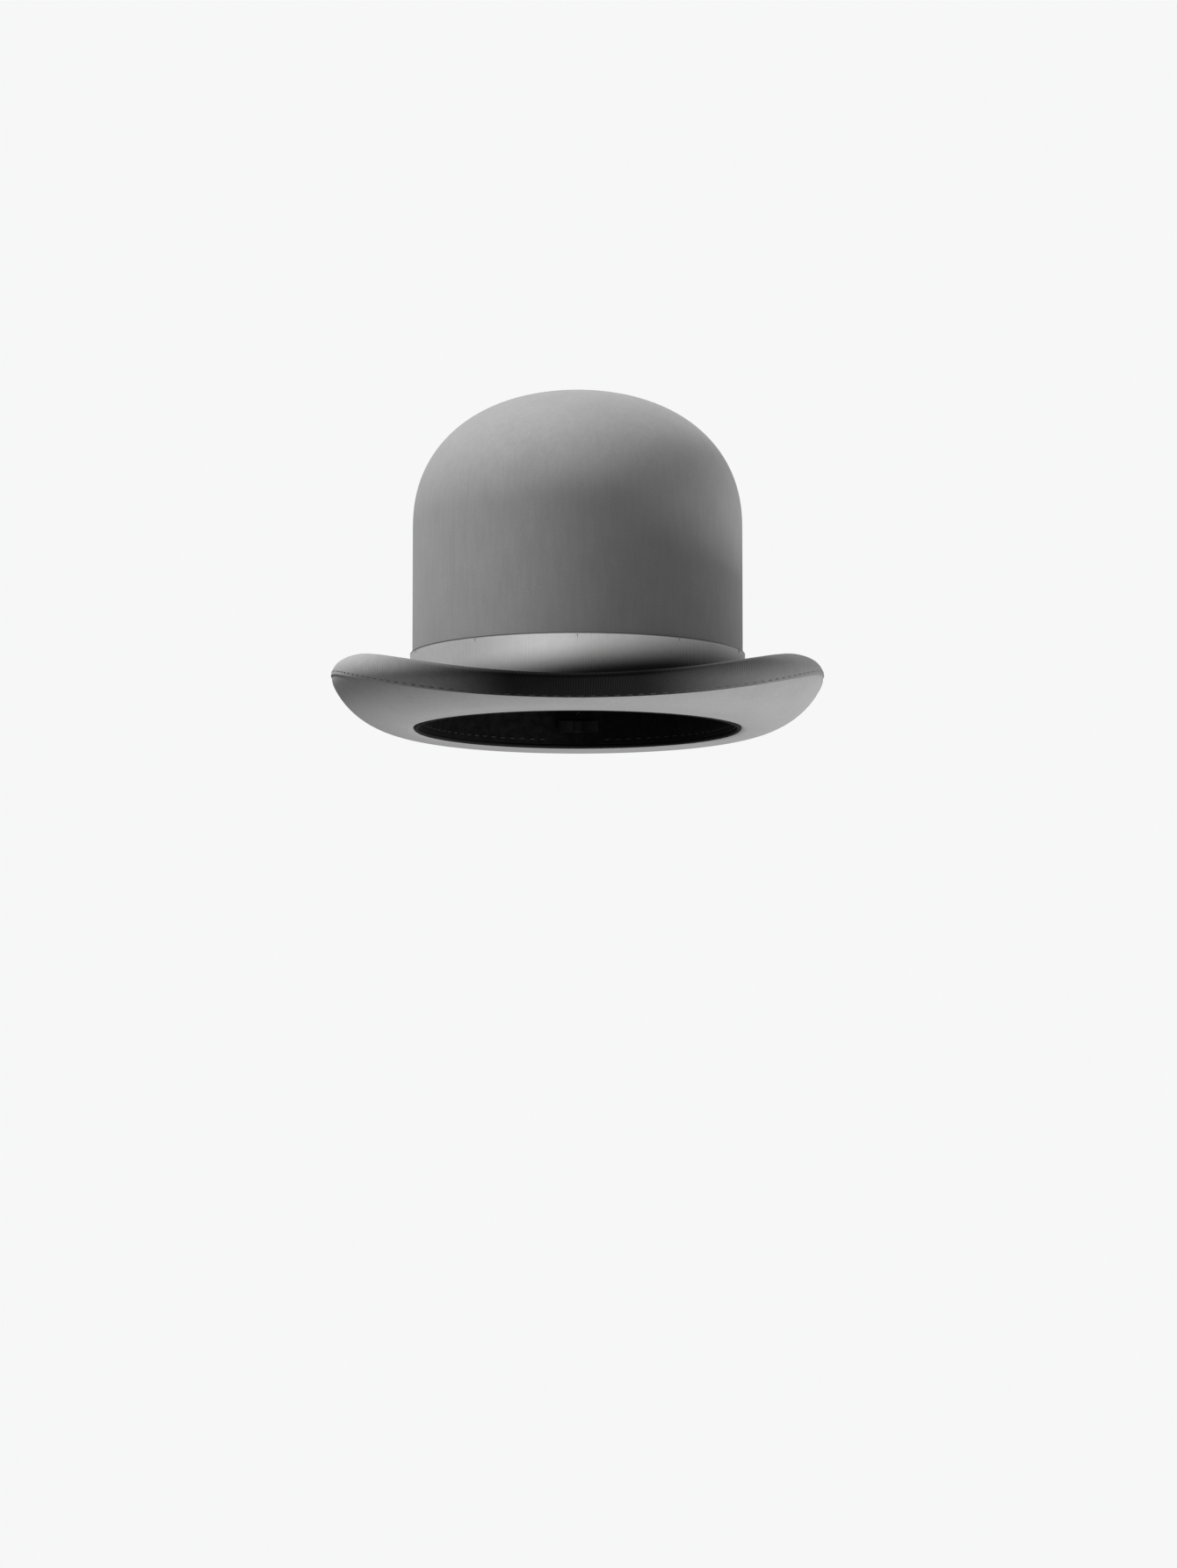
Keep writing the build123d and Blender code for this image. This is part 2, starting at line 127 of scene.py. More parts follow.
def dome(inset, share):
    """A ring on the dome, by share of the turn to the top."""
    size = cos(share * pi / 2) ** (2 / dome_power)
    rise = sin(share * pi / 2) ** (2 / dome_power)
    height = wall_top + (dome_rise - inset) * rise
    return lambda turn: Vector(
        ((crown_side - inset) * size * cos(turn), (crown_front - inset) * size * sin(turn), height)
    )


def steps(low, high, count):
    return [low + (high - low) * i / count for i in range(count + 1)]


def front_to_side(front, side, turn):
    """The brim's sizes fade from the front's to the side's."""
    return front + (side - front) * abs(cos(turn)) ** 1.82


def brim_parts(turn):
    flat = front_to_side(0.022, 0.002, turn)
    sweep = front_to_side(0.035, 0.0405, turn)
    bend = radians(front_to_side(46.5, 64.0, turn))
    curl = radians(front_to_side(2.0, 128.0, turn))
    return flat, sweep, bend, curl


curl_radius = 0.0085


def brim_length(turn):
    flat, sweep, bend, curl = brim_parts(turn)
    return flat + sweep * bend + curl_radius * curl


def on_brim(turn, along, lift, beyond=0.0):
    """A point that is so far along the brim's underside, lifted towards the upper side."""
    flat, sweep, bend, curl = brim_parts(turn)
    if along <= flat:
        slope, offset, height = 0.0, along, 0.0
    elif along <= flat + sweep * bend:
        slope = (along - flat) / sweep
        offset, height = flat + sweep * sin(slope), sweep * (1 - cos(slope))
    else:
        slope = bend + (along - flat - sweep * bend) / curl_radius
        offset = flat + sweep * sin(bend) + curl_radius * (sin(slope) - sin(bend))
        height = sweep * (1 - cos(bend)) + curl_radius * (cos(bend) - cos(slope))
    offset += crease - lift * sin(slope) + beyond * cos(slope)
    return oval(turn, offset, height + lift * cos(slope) + beyond * sin(slope))


def brim_share(share, lift):
    return lambda turn: on_brim(turn, share * brim_length(turn), lift)


def rim(back, lift, beyond=0.0):
    """A ring so far back from the brim's edge."""
    return lambda turn: on_brim(turn, brim_length(turn) - back, lift, beyond)


def finish_mesh(bm, name, nodes, material):
    """Turns a shape into a piece of the hat that rides on it and stands for its nodes."""
    mesh = bpy.data.meshes.new(name)
    for face in bm.faces:
        face.smooth = True
    bm.to_mesh(mesh)
    bm.free()
    mesh.set_sharp_from_angle(angle=radians(40))
    piece = bpy.data.objects.new(name, mesh)
    bpy.context.collection.objects.link(piece)
    mesh.materials.append(material)
    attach(piece, "root")
    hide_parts(*nodes)
    return piece


def from_back(turn):
    """The angle round the hat from the back, from 0 to a full turn."""
    return (turn - pi / 2) % (2 * pi)


def rings_round(rings, closed=False):
    """A skin through rings round the hat, each drawn out of the one before. closed joins the last ring
    to the first. The UV map is in metres: u runs round the hat from the back, v along the section."""
    bm = bmesh.new()
    turn_of = bm.verts.layers.float.new("turn")
    along_of = bm.verts.layers.float.new("along")
    start = bmesh.ops.create_circle(bm, segments=segments, radius=1)["verts"]
    for vert in start:
        vert[turn_of] = atan2(vert.co.y, vert.co.x)
    edges = bm.edges[:]
    first = edges
    along = 0.0
    previous = None
    for place in rings:
        if previous is not None:
            drawn = bmesh.ops.extrude_edge_only(bm, edges=edges)["geom"]
            start = [g for g in drawn if isinstance(g, bmesh.types.BMVert)]
            edges = [g for g in drawn if isinstance(g, bmesh.types.BMEdge) and g.is_boundary]
            along += (place(0) - previous(0)).length
        for vert in start:
            vert.co = place(vert[turn_of])
            vert[along_of] = along
        previous = place
    if closed:
        bmesh.ops.bridge_loops(bm, edges=first + edges)
    bmesh.ops.recalc_face_normals(bm, faces=bm.faces[:])
    cloth = bm.loops.layers.uv.new("cloth")
    for face in bm.faces:
        turns = [from_back(loop.vert[turn_of]) for loop in face.loops]
        wraps = max(turns) - min(turns) > pi
        for loop, turn in zip(face.loops, turns):
            u = turn + 2 * pi if wraps and turn < pi else turn
            loop[cloth].uv = (u * round_length / (2 * pi), loop.vert[along_of])
    return bm


class Level:
    """A value or colour on its way through a finish, which arithmetic works on."""

    def __init__(self, finish, socket):
        self.finish, self.socket = finish, socket

    def maths(self, operation, *values):
        return self.finish.node("ShaderNodeMath", {"operation": operation}, dict(enumerate(values)))

    def __add__(self, other):
        return self.maths("ADD", self, other)

    __radd__ = __add__

    def __mul__(self, other):
        return self.maths("MULTIPLY", self, other)

    __rmul__ = __mul__

    def __sub__(self, other):
        return self.maths("SUBTRACT", self, other)

    def __rsub__(self, other):
        return self.maths("SUBTRACT", other, self)

    def wave(self, pitch):
        """0 to 1 and back once in each pitch."""
        return self.maths("SINE", self * (2 * pi / pitch)) * 0.5 + 0.5

    def between(self, low, high):
        """0 at low, 1 at high, smooth between and held outside."""
        values = {"Value": self, "From Min": low, "From Max": high}
        return self.finish.node("ShaderNodeMapRange", {"interpolation_type": "SMOOTHSTEP"}, values)


class Finish:
    """A material that is being laid on."""

    def __init__(self, name, **constants):
        self.material = bpy.data.materials.new(name)
        self.material.use_nodes = True
        self.tree = self.material.node_tree
        self.shader = self.tree.nodes["Principled BSDF"]
        for socket, value in constants.items():
            self.shader.inputs[socket.replace("_", " ")].default_value = value

    def node(self, kind, settings=None, values=None, out=0):
        made = self.tree.nodes.new(kind)
        for key, value in (settings or {}).items():
            setattr(made, key, value)
        for key, value in (values or {}).items():
            self.put(made.inputs[key], value)
        return Level(self, made.outputs[out])

    def put(self, socket, value):
        if isinstance(value, Level):
            self.tree.links.new(value.socket, socket)
        else:
            socket.default_value = value

    def set(self, socket, value):
        self.put(self.shader.inputs[socket], value)

    def place(self):
        """The object's own coordinates, and their x, y and z."""
        where = self.node("ShaderNodeTexCoord", out="Object")
        return where, *self.parts(where)

    def parts(self, vector):
        split = self.node("ShaderNodeSeparateXYZ", values={0: vector})
        outputs = split.socket.node.outputs
        return [Level(self, outputs[i]) for i in range(3)]

    def cloth(self):
        """Distances in metres round the hat and across the cloth."""
        where = self.node("ShaderNodeUVMap", {"uv_map": "cloth"})
        return where, *self.parts(where)[:2]

    def noise(self, where, scale, detail=2.0, roughness=0.5):
        values = {"Vector": where, "Scale": scale, "Detail": detail, "Roughness": roughness}
        return self.node("ShaderNodeTexNoise", values=values, out="Fac")

    def mix(self, factor, low, high):
        values = {0: factor, 6: self.colour(low), 7: self.colour(high)}
        return self.node("ShaderNodeMix", {"data_type": "RGBA"}, values, out=2)

    def colour(self, value):
        return value if isinstance(value, Level) else (*value, 1)

    def bump(self, height, distance, strength=1.0):
        values = {"Height": height, "Distance": distance, "Strength": strength}
        self.set("Normal", self.node("ShaderNodeBump", values=values, out="Normal"))


def grey(value):
    return (value, value, value)


nap = Finish(
    "fur_felt", Roughness=0.92, Sheen_Weight=0.06, Sheen_Roughness=0.5, Specular_IOR_Level=0.15
)
where, x, y, z = nap.place()
fine = nap.noise(where, 1500, 3, 0.6)
mottle = nap.noise(where, 55, 4, 0.6)
downward = nap.node("ShaderNodeMapping", values={"Vector": where, "Scale": (1, 1, 0.12)})
brushed = nap.noise(downward, 420, 3, 0.55)
tone = fine * 0.45 + mottle * 0.25 + brushed * 0.3
nap.set("Base Color", nap.mix(tone.between(0.3, 0.7), grey(0.182), grey(0.218)))
nap.bump(fine * 0.7 + brushed * 0.3, 0.0002, 0.45)

brim_shares = steps(0, 1, 40)
creases = [radians(t) for t in steps(0, 90, 6)]
outer_crease = [level(crease * (1 - sin(t)), felt + crease * (1 - cos(t))) for t in creases]
inner_crease = [level(crease - (felt + crease) * sin(t), (felt + crease) * (1 - cos(t))) for t in creases]
wall_heights = steps(felt + crease, wall_top, 14)[1:]
dome_shares = steps(0, 0.985, 34)[1:]
outside = (
    [dome(0, s) for s in reversed(dome_shares)]
    + [level(0, z) for z in reversed(wall_heights)]
    + list(reversed(outer_crease))
    + [brim_share(s, felt) for s in brim_shares[1:]]
)
inside = (
    [brim_share(s, 0) for s in reversed(brim_shares[1:])]
    + inner_crease
    + [level(-felt, z) for z in wall_heights]
    + [dome(felt, s) for s in dome_shares]
)
body = rings_round(list(reversed(inside)) + list(reversed(outside)))
bmesh.ops.holes_fill(body, edges=[e for e in body.edges if e.is_boundary], sides=0)
bmesh.ops.poke(body, faces=[f for f in body.faces if len(f.verts) > 4])
bmesh.ops.recalc_face_normals(body, faces=body.faces[:])
finish_mesh(body, "felt_body_shell", ["felt_body"], nap.material)

# ---- Brim binding ----
# A ribbed ribbon folded over the brim's edge, with one leg on each side, sewn through near its edges.
# Its colour carries painted shade: near black over the middle of the front and back, greyer over the sides,
# and darker towards the wearer's left.
binding_leg = 0.014
air = 0.00006
binding_thick = 0.0005


def ribbed(name, tint, rib=0.00085, bump=0.00016, roughness=0.62, **constants):
    """A silk ribbon with fine ribs across its width. tint gives its colour from the finish, and for the band
    and the binding carries painted light and shade.
    """
    silk = Finish(name, Roughness=roughness, **constants)
    cloth, along, across = silk.cloth()
    ribs = along.wave(rib)
    weave = across.wave(rib * 0.45)
    wear = silk.noise(silk.place()[0], 240, 3)
    shade = ribs * 0.5 + weave * 0.15 + wear * 0.35
    silk.set("Base Color", silk.mix(shade.between(0.1, 0.9), *tint(silk)))
    silk.bump(ribs * 0.75 + weave * 0.25, bump, 0.8)
    return silk


def binding_painted_shade(silk):
    """Painted shade: near black over the front and back, greyer over the sides, darker towards the wearer's
    left.
    """
    where, x, y, z = silk.place()
    # Painted shade: grey only towards the sides, and less grey on the wearer's left.
    side = x.maths("ABSOLUTE", x).between(0.03, 0.13) * (1 - x.between(-0.1, 0.1) * 0.42)
    return silk.mix(side, grey(0.001), grey(0.2)), silk.mix(side, grey(0.004), grey(0.31))


binding_silk = ribbed("binding_silk", binding_painted_shade, Specular_IOR_Level=0.04)
legs = steps(binding_leg, 0, 12)


def binding_face(rise):
    reach = felt / 2 + rise
    fold = [rim(0, felt / 2 - reach * cos(t), reach * sin(t)) for t in steps(0, pi, 8)[1:-1]]
    return [rim(b, -rise) for b in legs] + fold + [rim(b, felt + rise) for b in reversed(legs)]


binding = rings_round(binding_face(air + binding_thick) + list(reversed(binding_face(air))), closed=True)
brim_binding = finish_mesh(
    binding, "binding_ribbon", ["brim_binding"], binding_silk.material
)

# ---- Binding stitches ----
# Dark twisted thread, sewn by machine through both legs of the binding and the felt between them.
thread = Finish("dark_thread", Roughness=0.6)
twist_at = thread.place()[0]
thread.set("Base Color", thread.mix(thread.noise(twist_at, 3000), grey(0.004), grey(0.02)))
thread.bump(thread.noise(twist_at, 5200), 0.00005, 0.7)
thread_radius = 0.00022


def sew(bm, start, end, out, radius=thread_radius):
    """One stitch: a low bead of thread that lies on the cloth between two points."""
    run = (end - start).normalized()
    across = out.cross(run).normalized()
    lie = Matrix((run, across, run.cross(across))).transposed().to_4x4()
    shape = Matrix.Diagonal(((end - start).length / 2, radius, radius, 1))
    bmesh.ops.create_uvsphere(
        bm, u_segments=6, v_segments=4, radius=1, matrix=Matrix.Translation((start + end) / 2) @ lie @ shape
    )


def stitch_line(bm, place, outward, pitch=0.006, length=0.0036, skip=lambda point: False):
    """Stitches all the way along a ring. outward gives the way that the cloth faces."""
    fine_turns = steps(0, 2 * pi, 1440)
    run = sum((place(b) - place(a)).length for a, b in zip(fine_turns, fine_turns[1:]))
    spacing = run / round(run / pitch)
    gone = due = 0.0
    for a, b in zip(fine_turns, fine_turns[1:]):
        if gone >= due:
            along = (place(b) - place(a)).normalized() * (length / 2)
            if not skip(place(a)):
                sew(bm, place(a) - along, place(a) + along, outward(a))
            due += spacing
        gone += (place(b) - place(a)).length


stitch_back = binding_leg - 0.0016
rise = air + binding_thick
stitching = bmesh.new()
for lift in (-rise, felt + rise):
    far = lift + (0.001 if lift > 0 else -0.001)
    stitch_line(
        stitching, rim(stitch_back, lift), lambda t: rim(stitch_back, far)(t) - rim(stitch_back, lift)(t)
    )
finish_mesh(stitching, "binding_thread", ["binding_stitches"], thread.material)

# ---- Hat band ----
# A wide ribbed silk ribbon drawn round the foot of the crown, its upper edge standing a hair off the felt.
# Its colour carries painted light and shade: painted light along the top, painted shade falling to black
# towards the brim.
band_low, band_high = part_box("hat_band")
band_thick, band_flare = 0.0008, 0.00035


def band_painted_light(silk):
    """Painted light and shade: silver grey along the top, painted shade falling to black at the foot and
    towards the wearer's left, lightest near the middle of the front.
    """
    where, x, y, z = silk.place()
    # Painted shade: the line below which the ribbon is painted black, higher towards the wearer's left.
    painted_shade_line = band_high[2] - 0.0210 + x * 0.11
    fade = (z - painted_shade_line).between(0.0, 0.018)
    # Painted shade over the top millimetre of the ribbon, darkening its upper edge.
    top_edge_painted_shade = z.between(band_high[2] - 0.0009, band_high[2] - 0.0003)
    # Painted light and shade across the front: lightest near the middle, darker to either side.
    across = (0.44 + x.between(-0.06, 0.0) * 0.56) * (1 - x.between(0.02, 0.08) * 0.45)
    shine = fade * across * (1 - top_edge_painted_shade * 0.85)
    return silk.mix(shine, grey(0.0), grey(0.72)), silk.mix(shine, grey(0.002), grey(0.9))


band_silk = ribbed("band_silk", band_painted_light, Specular_IOR_Level=0.15)
band_rows = steps(0, 1, 10)
band_height = band_high[2] - band_low[2]


def band_face(offset):
    lean = [offset + band_flare * share for share in band_rows]
    return [level(o, band_low[2] + band_height * share) for o, share in zip(lean, band_rows)]


band_face_out = band_face(air + band_thick)
band = rings_round(band_face_out + list(reversed(band_face(air))), closed=True)
hat_band = finish_mesh(band, "band_ribbon", ["hat_band"], band_silk.material)

tack_thread = Finish("grey_thread", Roughness=0.7, Specular_IOR_Level=0.15)
tack_at = tack_thread.place()[0]
tack_thread.set("Base Color", tack_thread.mix(tack_thread.noise(tack_at, 3000), grey(0.16), grey(0.34)))
tack_thread.bump(tack_thread.noise(tack_at, 5200), 0.00005, 0.7)
tacks = bmesh.new()
for i in range(10):
    turn = 2 * pi * (i + 0.5) / 10
    offset = band_thick + band_flare + 3 * air
    head = oval(turn, offset, band_high[2] - air)
    sew(tacks, head - Vector((0, 0, 0.0024)), head, Vector((head.x, head.y, 0)), 0.00016)
finish_mesh(tacks, "band_tack_thread", ["band_tacks"], tack_thread.material)

# ---- Bow on the band ----
# A flat bow of the band's own ribbon, behind the wearer's left side: a folded pair of loops over a
# slanted tail, held by a short ribbon wrapped round their middle.
bow_turn = radians(36)
bow_out = Vector((cos(bow_turn) / crown_side, sin(bow_turn) / crown_front, 0)).normalized()
bow_along = Vector((bow_out.y, -bow_out.x, 0))
bow_radius = hypot(crown_side * sin(bow_turn), crown_front * cos(bow_turn)) ** 3 / (crown_side * crown_front)
bow_low, bow_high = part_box("bow_loop")[0][2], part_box("bow_loop")[1][2]
bow_thick = 0.00055
knot_half = 0.0065


def by_bow(along, out, height):
    """A point by its distance along the band from the bow's middle and out from the crown's wall."""
    sag = bow_radius - sqrt(bow_radius**2 - along**2)
    return oval(bow_turn, 0, 0) + bow_along * along + bow_out * (out - sag) + Vector((0, 0, height))


def ribbon(path, low, high, place, thick, slant=0.0, rows=6):
    """A ribbon that stands on its edge along a path of (along, out) points, given as its middle line.
    slant shortens the upper edge at both ends. A path that ends where it starts makes a ring."""
    bm = bmesh.new()
    ring = (Vector(path[0]) - Vector(path[-1])).length < 1e-7
    count = len(path) - 1
    made = bmesh.ops.create_grid(bm, x_segments=count, y_segments=rows, size=1)["verts"]
    cloth = bm.loops.layers.uv.new("cloth")
    runs = [0.0]
    for a, b in zip(path, path[1:]):
        runs.append(runs[-1] + (Vector(b) - Vector(a)).length)
    for face in bm.faces:
        for loop in face.loops:
            i = round((loop.vert.co.x + 1) / 2 * count)
            loop[cloth].uv = (runs[i], (loop.vert.co.y + 1) / 2 * (high - low))
    for vert in made:
        i = round((vert.co.x + 1) / 2 * count)
        up = (vert.co.y + 1) / 2
        along, out = path[i]
        vert.co = place(along * (1 - slant * up), out, low + (high - low) * up)
    if ring:
        bmesh.ops.remove_doubles(bm, verts=bm.verts[:], dist=1e-6)
    bmesh.ops.recalc_face_normals(bm, faces=bm.faces[:])
    bmesh.ops.solidify(bm, geom=bm.faces[:], thickness=thick)
    bmesh.ops.recalc_face_normals(bm, faces=bm.faces[:])
    return bm


def pocket(half, inner, depth, pinch, thick, full):
    """The middle line of a ribbon folded into two flat loops, pinched over its middle."""

    def room(x):
        share = min(1, max(0.0, (abs(x) - pinch) / (half - pinch)))
        return depth + full * (sin(pi * share) ** 0.75 + 0.25 * share)

    reach = half - room(half) / 2 - thick / 2
    near = [(x, inner) for x in steps(-reach, reach, 32)]
    far = [(x, inner + thick + room(x)) for x in steps(reach, -reach, 32)]
    bulge = (thick + room(half)) / 2
    right = [(reach + bulge * sin(t), inner + bulge * (1 - cos(t))) for t in steps(0, pi, 8)[1:-1]]
    left = [(-x, out) for x, out in reversed(right)]
    return near + right + far + left + [near[0]]


loop_near = 0.00088 + band_flare + 0.0002 + 2 * (bow_thick + air) + air
path = pocket(0.029, loop_near + bow_thick / 2, air, knot_half, bow_thick, 0.0015)
loops = ribbon(path, bow_low, bow_high, by_bow, bow_thick)
bow_loops = finish_mesh(loops, "bow_loops", ["bow_loop"], band_silk.material)
path_length = sum((Vector(b) - Vector(a)).length for a, b in zip(path, path[1:]))

tail_out = loop_near - air - bow_thick / 2
tail = ribbon([(x, tail_out) for x in steps(-0.035, 0.035, 28)], bow_low, bow_high, by_bow, bow_thick, 0.2)
bow_tail = finish_mesh(tail, "bow_tail_ribbon", ["bow_tail"], band_silk.material)

knot_near = tail_out - bow_thick - 2 * air
knot_far = loop_near + 2 * bow_thick + 3 * air + bow_thick / 2
knot_low, knot_high = bow_low - air - bow_thick / 2, bow_high + air + bow_thick / 2


def wrap(near, far, low, high, half, place, thick, bow_in=0.0):
    """A short ribbon wrapped round the middle of a bow."""
    bm = bmesh.new()
    made = bmesh.ops.create_grid(bm, x_segments=8, y_segments=48, size=1)["verts"]
    cloth = bm.loops.layers.uv.new("cloth")
    around = 2 * (high - low + far - near)
    corner = thick
    straight_up, straight_out = high - low - 2 * corner, far - near - 2 * corner
    legs = [straight_up, corner * pi / 2, max(straight_out, 0), corner * pi / 2] * 2
    total = sum(legs)
    for face in bm.faces:
        for loop in face.loops:
            loop[cloth].uv = ((loop.vert.co.y + 1) / 2 * around, (loop.vert.co.x + 1) * half)
    for vert in made:
        x, gone = vert.co.x, (vert.co.y + 1) / 2 * total % total
        out, up, heading = near, low + corner, pi / 2
        for i, leg in enumerate(legs):
            step = min(gone, leg)
            if i % 2 == 0:
                out += step * cos(heading)
                up += step * sin(heading)
            else:
                swing = step / corner
                out += corner * (sin(heading) - sin(heading - swing))
                up += corner * (cos(heading - swing) - cos(heading))
                heading -= swing
            gone -= step
            if gone <= 0:
                break
        squeeze = 1 - bow_in * sin(pi * (up - low) / (high - low))
        vert.co = place(x * half * squeeze, out, up)
    bmesh.ops.remove_doubles(bm, verts=bm.verts[:], dist=1e-6)
    bmesh.ops.recalc_face_normals(bm, faces=bm.faces[:])
    bmesh.ops.solidify(bm, geom=bm.faces[:], thickness=thick)
    bmesh.ops.recalc_face_normals(bm, faces=bm.faces[:])
    return bm


knot = wrap(knot_near, knot_far, knot_low, knot_high, knot_half, by_bow, bow_thick, 0.06)
bow_knot = finish_mesh(knot, "bow_knot_ribbon", ["bow_knot"], band_silk.material)
2 * (knot_high - knot_low + knot_far - knot_near)

# ---- Sweatband, reed and tape ----
# A strip of thin black leather round the inside of the head opening. Its foot is sewn to a cloth tape
# that is rolled round a springy reed, and its ends meet at the back over a glued tape, with a zigzag.
leather_low, leather_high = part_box("sweatband")
leather_face = leather_high[0] - crown_side  # offset of the face towards the felt
leather_thick = 0.001
leather = Finish("sweatband_leather", Roughness=0.42, Specular_IOR_Level=0.07)
skin_at, x, y, z = leather.place()
grain = {"Vector": skin_at, "Scale": 1300}
pores = leather.node("ShaderNodeTexVoronoi", {"feature": "F1"}, grain, out="Distance")
creasing = leather.noise(skin_at, 260, 5, 0.6)
# Black leather, painted darker than real black leather, so that the head opening shows as deep painted
# shade.
leather.set("Base Color", leather.mix(creasing.between(0.3, 0.7), grey(0.0015), grey(0.005)))
leather.set("Roughness", 0.45 + creasing * 0.2)
joint = (1 - x.maths("ABSOLUTE", x).between(0.0001, 0.0004)) * y.between(0.0, 0.02)
leather.bump(pores * 0.5 + creasing * 0.5 - joint * 3, 0.0002, 0.6)
leather_rows = steps(leather_low[2], leather_high[2], 10)
leather_inside = leather_face - leather_thick
strip = rings_round(
    [level(leather_inside, z) for z in leather_rows]
    + [level(leather_face, z) for z in reversed(leather_rows)],
    closed=True,
)
sweatband = finish_mesh(strip, "sweatband_strip", ["sweatband"], leather.material)

tape_cloth = Finish("black_tape", Roughness=0.85, Specular_IOR_Level=0.1)
cloth, along, across = tape_cloth.cloth()
checks = along.wave(0.0007) * 0.5 + across.wave(0.0007) * 0.5
tape_cloth.set("Base Color", tape_cloth.mix(checks, grey(0.002), grey(0.008)))
tape_cloth.bump(checks, 0.00012, 0.8)

reed_low, reed_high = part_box("sweatband_reed")
reed_at = (reed_low[2] + reed_high[2]) / 2
reed_radius = (reed_high[2] - reed_low[2]) / 2
reed_offset = reed_high[0] - reed_radius - crown_side
reed_plastic = Finish("reed_plastic", Roughness=0.5)
drawn = reed_plastic.noise(reed_plastic.place()[0], 900)
reed_plastic.set("Base Color", reed_plastic.mix(drawn, grey(0.3), grey(0.38)))
reed_plastic.bump(drawn, 0.00005, 0.4)


def tube(radius, turns):
    return [level(reed_offset + radius * cos(t), reed_at + radius * sin(t)) for t in turns]


rod = rings_round(tube(reed_radius, steps(0, 2 * pi, 10)[:-1]), closed=True)
finish_mesh(rod, "reed_rod", ["sweatband_reed"], reed_plastic.material)

tape_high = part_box("reed_tape")[1]
tape_thick = 0.0003
tape_out = -felt - air
roll = reed_radius + air + tape_thick
lip = radians(145) - 2 * pi
stand = steps(tape_high[2], reed_at + roll, 4)
outer_start = acos((tape_out - reed_offset) / roll)
inner_start = acos((tape_out - tape_thick - reed_offset) / (roll - tape_thick))
rolled = (
    [level(tape_out, z) for z in stand[:-1]]
    + tube(roll, steps(outer_start, lip, 16))
    + tube(roll - tape_thick, steps(lip, inner_start, 16))
    + [level(tape_out - tape_thick, z) for z in reversed(stand[:-1])]
)
roll_of_tape = rings_round(rolled, closed=True)
tape = finish_mesh(roll_of_tape, "reed_tape_roll", ["reed_tape"], tape_cloth.material)

foot_stitches = bmesh.new()
stitch_at = level(leather_inside - air, leather_low[2] + 0.0024)
stitch_line(foot_stitches, stitch_at, lambda t: -oval(t, 0, 0), skip=lambda p: p.y > 0 and abs(p.x) < 0.0146)
finish_mesh(foot_stitches, "sweatband_thread", ["sweatband_stitches"], thread.material)


def behind(along, out, height):
    """A point by its distance across the back and out from the crown's wall."""
    turn = pi / 2 - asin(along / (crown_side + out))
    return oval(turn, out, height)


patch_low, patch_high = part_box("seam_tape")
patch_out = leather_face + air + tape_thick / 2
patch_line = [(x, patch_out) for x in steps(-0.00695, 0.00695, 10)]
patch = ribbon(patch_line, patch_low[2], patch_high[2], behind, tape_thick)
seam_tape = finish_mesh(patch, "seam_tape_patch", ["seam_tape"], tape_cloth.material)

zigzag = bmesh.new()
zigzag_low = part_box("seam_stitches")[0][2]
for i in range(7):
    side = 0.0016 if i % 2 else -0.0016
    height = zigzag_low + 0.0002 + i * 0.004
    start = behind(side, leather_inside - air, height)
    end = behind(-side, leather_inside - air, height + 0.0032)
    sew(zigzag, start, end, Vector((0, -1, 0)))
finish_mesh(zigzag, "seam_thread", ["seam_stitches"], thread.material)

# ---- Small bow inside ----
# A flat bow of narrow black satin ribbon over the foot of the leather's joint, sewn on by hand. It
# marks the back of the hat.
small_low, small_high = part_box("inside_bow_loop")
# Black satin, painted darker than real black satin, so that the bow inside the opening sinks into painted
# shade.
satin_ribbon = ribbed("inside_satin", lambda silk: (grey(0.002), grey(0.006)), 0.0004, 0.00006, 0.45,
                      Specular_IOR_Level=0.12)
small_thick = 0.00035


def in_bow(along, out, height):
    """A point by its distance across the back and in from the leather's face."""
    return behind(-along, leather_inside - out, height)


small_path = pocket(0.011, 0.0002 + small_thick * 1.5, air, 0.002, small_thick, 0.001)
small_loops = ribbon(small_path, small_low[2], small_high[2], in_bow, small_thick, rows=4)
finish_mesh(small_loops, "small_bow_loops", ["inside_bow_loop"], satin_ribbon.material)
over = 0.0003  # from the loop's edge to the knot
small_knot = wrap(
    small_thick * 0.6, 0.00165, small_low[2] - over, small_high[2] + over, 0.002, in_bow, small_thick
)
finish_mesh(small_knot, "small_bow_knot", ["inside_bow_knot"], satin_ribbon.material)

# ---- Lining ----
# Black satin: a gathered side piece, whose foot is tucked behind the leather, sewn to an oval tip in
# the top of the crown. A clear film is sewn over the middle of the tip.
lining_low, lining_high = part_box("lining_side")
satin_out = lining_high[0] - crown_side
satin_thick = 0.00025
hang, loose_from, tip_size = 0.0034, 0.060, 0.74
tip_share = 2 / pi * acos(tip_size ** (dome_power / 2))
satin = Finish("lining_satin", Roughness=0.34, Specular_IOR_Level=0.12)
cloth, along, across = satin.cloth()
stretch = satin.node("ShaderNodeMapping", values={"Vector": cloth, "Scale": (260, 9, 1)})
gathers = satin.noise(stretch, 1.0, 3, 0.55)
weave = along.wave(0.0003)
# Black satin, painted darker than real black satin, as painted shade for the inside of the crown.
satin.set("Base Color", satin.mix(gathers.between(0.3, 0.7), grey(0.002), grey(0.007)))
satin.set("Roughness", 0.28 + gathers * 0.16)
satin.bump(gathers * 0.9 + weave * 0.1, 0.0006, 0.5)
gather_count, gather_depth = 84, 0.00022


def gathered(offset, height, fullness):
    """A ring of the hanging satin, with soft folds that run up it."""
    folds = lambda turn: fullness * gather_depth * (sin(gather_count * turn) + 0.6 * sin(37 * turn + 1))
    return lambda turn: oval(turn, offset + folds(turn), height)


